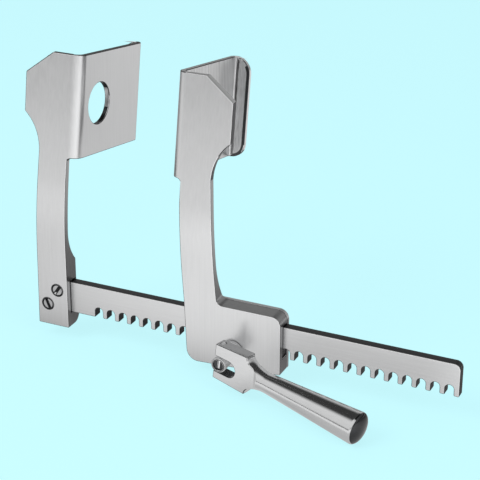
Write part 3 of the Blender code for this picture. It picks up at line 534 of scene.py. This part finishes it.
def steels(name, face_tone, steel, roughness, along, grain, depth):
    """The finishes of a part: broad faces, sides and rims in painted shade, edges in painted
    highlight, inner faces.
    """
    tones = (face_tone, steel.side_shade_tone, steel.rim_shade_tone, steel.highlight_tone, steel.inner_tone)
    return [brushed_steel(name + "_" + part, tone, roughness, along, grain, depth, streak)
            for part, tone, streak in zip(FINISH_NAMES, tones, FINISH_STREAKS)]


class RIB_OT_arms(bpy.types.Operator):
    """Ease and brush the two arms"""

    bl_idname = "rib_spreader.arms"
    bl_label = "Arms and blades"

    def execute(self, context):
        steel = context.scene.rib_steel
        satin = steels("arm", steel.face_tone, steel, steel.satin, "Z", grain=900, depth=0.25)
        dress("fixed_arm", satin, steel.arm_ease, fixed_arm_finish_and_light)
        dress("sliding_arm", satin, steel.arm_ease, sliding_arm_finish_and_light,
              band=LIP_BAND, banded=lip_front)
        return {"FINISHED"}


class RIB_OT_rack(bpy.types.Operator):
    """Ease and brush the rack and the slider's cover"""

    bl_idname = "rib_spreader.rack"
    bl_label = "Rack and cover"

    def execute(self, context):
        steel = context.scene.rib_steel
        satin = steels("rack", steel.face_tone, steel, steel.satin, "X", grain=900, depth=0.25)
        dress("rack_bar", satin, steel.arm_ease, rack_finish_and_light)
        dress("slider_cover", satin, steel.small_ease)
        return {"FINISHED"}


class RIB_OT_handle(bpy.types.Operator):
    """Ease and brush the crank handle"""

    bl_idname = "rib_spreader.handle"
    bl_label = "Crank handle"

    def execute(self, context):
        steel = context.scene.rib_steel
        satin = steels("handle", steel.handle_tone, steel, steel.handle_polish, "X",
                       grain=700, depth=0.15)
        handle = dress("crank_handle", satin, steel.arm_ease, handle_finish_and_light)
        handle.visible_glossy = False
        return {"FINISHED"}


class RIB_OT_pinion(bpy.types.Operator):
    """Finish the shaft, discs, pins and bushes"""

    bl_idname = "rib_spreader.pinion"
    bl_label = "Shaft, pinion and bushes"

    def execute(self, context):
        steel = context.scene.rib_steel
        polished = steels("turned", steel.turned_tone, steel, steel.polish, "Y",
                          grain=600, depth=0.1)
        for node in SHAFT_NODES:
            choose = shaft_finish_and_shade if node == "drive_shaft" else None
            dress(node, polished, steel.small_ease, choose)
        bush = steels("bush", steel.screw_tone, steel, steel.polish, "Y", grain=600, depth=0.1)
        for node in BUSH_NODES:
            dress(node, bush, steel.small_ease)
        return {"FINISHED"}


class RIB_OT_screws(bpy.types.Operator):
    """Finish the screws"""

    bl_idname = "rib_spreader.screws"
    bl_label = "Screws"

    def execute(self, context):
        steel = context.scene.rib_steel
        finish = steels("screw", steel.screw_tone, steel, steel.polish, "Z",
                        grain=800, depth=0.15)
        for node in COVER_SCREWS:
            dress(node, finish, steel.small_ease, screw_finish_and_shade(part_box(node)[1].y))
        for node, turn in RACK_SCREWS:
            dress(node, finish, steel.screw_ease,
                  screw_finish_and_shade(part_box(node)[0].y), turn, steel.screw_ring, screw_front)
        dress("pin_lock_screw", finish, steel.small_ease, lock_screw_finish_and_light)
        return {"FINISHED"}


class RIB_OT_stage(bpy.types.Operator):
    """Set the floor, the light and the camera"""

    bl_idname = "rib_spreader.stage"
    bl_label = "Stage"

    def execute(self, context):
        settings = context.scene.rib_stage
        make_floor(settings)
        make_world(settings)
        make_lights()
        make_camera(settings)
        context.scene.view_settings.view_transform = "Standard"
        return {"FINISHED"}


def ramp(tree, label, source, low, high, at_low, at_high):
    """A smooth step of a value between two levels."""
    node = add(tree, "ShaderNodeMapRange", label,
               {"From Min": low, "From Max": high, "To Min": at_low, "To Max": at_high},
               interpolation_type="SMOOTHSTEP")
    tree.links.new(source, node.inputs["Value"])
    return node.outputs["Result"]


def combine(tree, label, operation, first, second):
    """One sum, product or the like of two values."""
    node = add(tree, "ShaderNodeMath", label, operation=operation)
    for socket, value in zip(node.inputs, (first, second)):
        if isinstance(value, (int, float)):
            socket.default_value = value
        else:
            tree.links.new(value, socket)
    return node.outputs["Value"]


def distance_from(tree, label, source, middle):
    """How far a value is from a middle."""
    difference = combine(tree, label + ", signed", "SUBTRACT", source, middle)
    return combine(tree, label, "ABSOLUTE", difference, 0)


def dim_patch(tree, label, first, second, depth):
    """A factor of 1, which falls by a depth where two shares overlap."""
    overlap = combine(tree, label + ", overlap", "MULTIPLY", first, second)
    factor = combine(tree, label, "MULTIPLY_ADD", overlap, -depth)
    factor.node.inputs[2].default_value = 1.0
    return factor


def floor_level(tree):
    """How bright the floor looks in metal: dark under the object, uneven round it."""
    place = add(tree, "ShaderNodeTexCoord", "place on the floor")
    split = add(tree, "ShaderNodeSeparateXYZ", "across and back")
    length = add(tree, "ShaderNodeVectorMath", "distance", operation="LENGTH")
    tree.links.new(place.outputs["Object"], split.inputs["Vector"])
    tree.links.new(place.outputs["Object"], length.inputs[0])
    across, back = split.outputs["X"], split.outputs["Y"]
    parts = [ramp(tree, label, split.outputs[axis], *levels)
             for label, axis, *levels in FLOOR_RAMPS]
    parts.append(ramp(tree, "dark under the object",
                      distance_from(tree, "from the line behind", back, SHADOW_LINE),
                      *SHADOW_RAMP))
    parts.append(dim_patch(tree, "dark rear left corner",
                           ramp(tree, "left end", across, *CORNER_LEFT_RAMP),
                           ramp(tree, "rear half", back, *CORNER_REAR_RAMP), CORNER_DEPTH))
    grip_x = distance_from(tree, "along the grip", across, GRIP_MIDDLE[0])
    grip_y = distance_from(tree, "across the grip", back, GRIP_MIDDLE[1])
    parts.append(dim_patch(tree, "grip's shade",
                           ramp(tree, "grip's length", grip_x, *GRIP_LENGTH_RAMP),
                           ramp(tree, "grip's width", grip_y, *GRIP_WIDTH_RAMP), GRIP_DEPTH))
    parts.append(ramp(tree, "dark far away", length.outputs["Value"], *FAR_RAMP))
    level = parts[0]
    for part in parts[1:]:
        level = combine(tree, "floor level", "MULTIPLY", level, part)
    return level


def make_floor(settings):
    """A wide pale floor, which shows metal a neutral sheen and keeps the shadow."""
    work = bmesh.new()
    bmesh.ops.create_circle(work, cap_ends=True, segments=FLOOR_SEGMENTS,
                            radius=settings.floor_size)
    mesh = bpy.data.meshes.new("floor")
    work.to_mesh(mesh)
    work.free()
    floor = bpy.data.objects.new("floor", mesh)
    floor.location = (*FLOOR_PLACE, OBJECT_LOW.z - FLOOR_DROP)
    bpy.context.scene.collection.objects.link(floor)
    material = bpy.data.materials.new("floor_paper")
    material.use_nodes = True
    tree = material.node_tree
    tree.nodes.clear()
    tone = (*settings.floor_tone, 1)
    output = add(tree, "ShaderNodeOutputMaterial", "floor")
    paper = add(tree, "ShaderNodeBsdfDiffuse", "paper", {"Color": tone})
    glow = add(tree, "ShaderNodeEmission", "even backdrop",
               {"Color": tone, "Strength": settings.floor_glow})
    seen = add(tree, "ShaderNodeMixShader", "paper under an even glow")
    sheen = add(tree, "ShaderNodeEmission", "floor as metal shows it")
    mixed = add(tree, "ShaderNodeMixShader", "what each ray sees")
    path = add(tree, "ShaderNodeLightPath", "ray kinds")
    share = combine(tree, "glow for the camera", "MULTIPLY", path.outputs["Is Camera Ray"],
                    settings.floor_glow_share)
    link = tree.links.new
    link(floor_level(tree), sheen.inputs["Strength"])
    link(share, seen.inputs["Fac"])
    link(paper.outputs["BSDF"], seen.inputs[1])
    link(glow.outputs["Emission"], seen.inputs[2])
    link(path.outputs["Is Glossy Ray"], mixed.inputs["Fac"])
    link(seen.outputs["Shader"], mixed.inputs[1])
    link(sheen.outputs["Emission"], mixed.inputs[2])
    link(mixed.outputs["Shader"], output.inputs["Surface"])
    floor.data.materials.append(material)


def room_level(tree):
    """How bright the room looks in metal: a wall, a dark horizon, a ceiling dark at the back."""
    place = add(tree, "ShaderNodeTexCoord", "direction")
    split = add(tree, "ShaderNodeSeparateXYZ", "height and depth")
    tree.links.new(place.outputs["Generated"], split.inputs["Vector"])
    depth, height = split.outputs["Y"], split.outputs["Z"]
    wall = ramp(tree, "dim wall behind", depth, *WALL_RAMP)
    ceiling = ramp(tree, "dark ceiling behind", depth, *CEILING_RAMP)
    overhead = ramp(tree, "overhead", height, *OVERHEAD_RAMP)
    rise = ramp(tree, "dark horizon", height, *HORIZON_RAMP)
    below = combine(tree, "share below the ceiling", "SUBTRACT", 1.0, overhead)
    level = combine(tree, "wall and ceiling", "ADD",
                    combine(tree, "share of ceiling", "MULTIPLY", ceiling, overhead),
                    combine(tree, "share of wall", "MULTIPLY", wall, below))
    return combine(tree, "room level", "MULTIPLY", level, rise)


def make_world(settings):
    """Pale backdrop for the camera, a softly lit room with a dark horizon for metal."""
    world = bpy.data.worlds.new("studio")
    bpy.context.scene.world = world
    world.use_nodes = True
    tree = world.node_tree
    tree.nodes.clear()
    output = add(tree, "ShaderNodeOutputWorld", "surroundings")
    room = add(tree, "ShaderNodeBackground", "room")
    lit = add(tree, "ShaderNodeBackground", "light of the room", {"Strength": ROOM_LIGHT})
    backdrop = add(tree, "ShaderNodeBackground", "backdrop",
                   {"Color": (*settings.floor_tone, 1)})
    path = add(tree, "ShaderNodeLightPath", "ray kinds")
    metal = add(tree, "ShaderNodeMixShader", "metal sees the room")
    mixed = add(tree, "ShaderNodeMixShader", "camera sees the backdrop")
    link = tree.links.new
    link(room_level(tree), room.inputs["Strength"])
    link(path.outputs["Is Glossy Ray"], metal.inputs["Fac"])
    link(lit.outputs["Background"], metal.inputs[1])
    link(room.outputs["Background"], metal.inputs[2])
    link(path.outputs["Is Camera Ray"], mixed.inputs["Fac"])
    link(metal.outputs["Shader"], mixed.inputs[1])
    link(backdrop.outputs["Background"], mixed.inputs[2])
    link(mixed.outputs["Shader"], output.inputs["Surface"])


def make_lights():
    """Two broad lamps: one above the front left, one weaker at the right."""
    for name, place, size, power in LAMPS:
        lamp = bpy.data.lights.new(name, "AREA")
        lamp.shape = "DISK"
        lamp.size = size
        lamp.energy = power
        holder = bpy.data.objects.new(name, lamp)
        turn = (LAMP_TARGET - Vector(place)).to_track_quat("-Z", "Y").to_matrix().to_4x4()
        holder.matrix_world = Matrix.Translation(place) @ turn
        bpy.context.scene.collection.objects.link(holder)
        holder.visible_glossy = False


def make_camera(settings):
    """The camera at the photograph's angle."""
    azimuth, elevation, roll = (settings.camera_azimuth, settings.camera_elevation,
                                settings.camera_roll)
    look = Vector((-math.sin(azimuth) * math.cos(elevation),
                   math.cos(azimuth) * math.cos(elevation), -math.sin(elevation)))
    level = Vector((math.cos(azimuth), math.sin(azimuth), 0))
    upright = level.cross(look)
    right = math.cos(roll) * level + math.sin(roll) * upright
    up = -math.sin(roll) * level + math.cos(roll) * upright
    camera = bpy.data.cameras.new("camera")
    camera.sensor_width = SENSOR_WIDTH
    camera.lens = settings.focal_pixels * SENSOR_WIDTH / FRAME_PIXELS
    camera.clip_start = 0.01
    camera.clip_end = 50
    holder = bpy.data.objects.new("camera", camera)
    turn = Matrix((right, up, -look)).transposed().to_4x4()
    place = Vector(settings.camera_target) - look * settings.camera_distance
    holder.matrix_world = Matrix.Translation(place) @ turn
    bpy.context.scene.collection.objects.link(holder)
    bpy.context.scene.camera = holder


class RIB_PT_panel(bpy.types.Panel):
    """Buttons for the spreader's finishes"""

    bl_idname = "RIB_PT_panel"
    bl_label = "Rib spreader"
    bl_space_type = "VIEW_3D"
    bl_region_type = "UI"
    bl_category = "Rib spreader"

    def draw(self, context):
        for operator in OPERATORS:
            self.layout.operator(operator.bl_idname)
        for settings in (context.scene.rib_steel, context.scene.rib_stage):
            box = self.layout.box()
            for name in type(settings).__annotations__:
                box.prop(settings, name)


OPERATORS = (RIB_OT_arms, RIB_OT_rack, RIB_OT_handle, RIB_OT_pinion, RIB_OT_screws, RIB_OT_stage)
CLASSES = (SteelSettings, StageSettings, *OPERATORS, RIB_PT_panel)


def register():
    for item in CLASSES:
        bpy.utils.register_class(item)
    bpy.types.Scene.rib_steel = bpy.props.PointerProperty(type=SteelSettings)
    bpy.types.Scene.rib_stage = bpy.props.PointerProperty(type=StageSettings)


def unregister():
    del bpy.types.Scene.rib_stage
    del bpy.types.Scene.rib_steel
    for item in reversed(CLASSES):
        bpy.utils.unregister_class(item)


def main():
    """Run every operator."""
    register()
    bpy.ops.rib_spreader.arms()
    bpy.ops.rib_spreader.rack()
    bpy.ops.rib_spreader.handle()
    bpy.ops.rib_spreader.pinion()
    bpy.ops.rib_spreader.screws()
    bpy.ops.rib_spreader.stage()


if __name__ == "__main__":
    main()
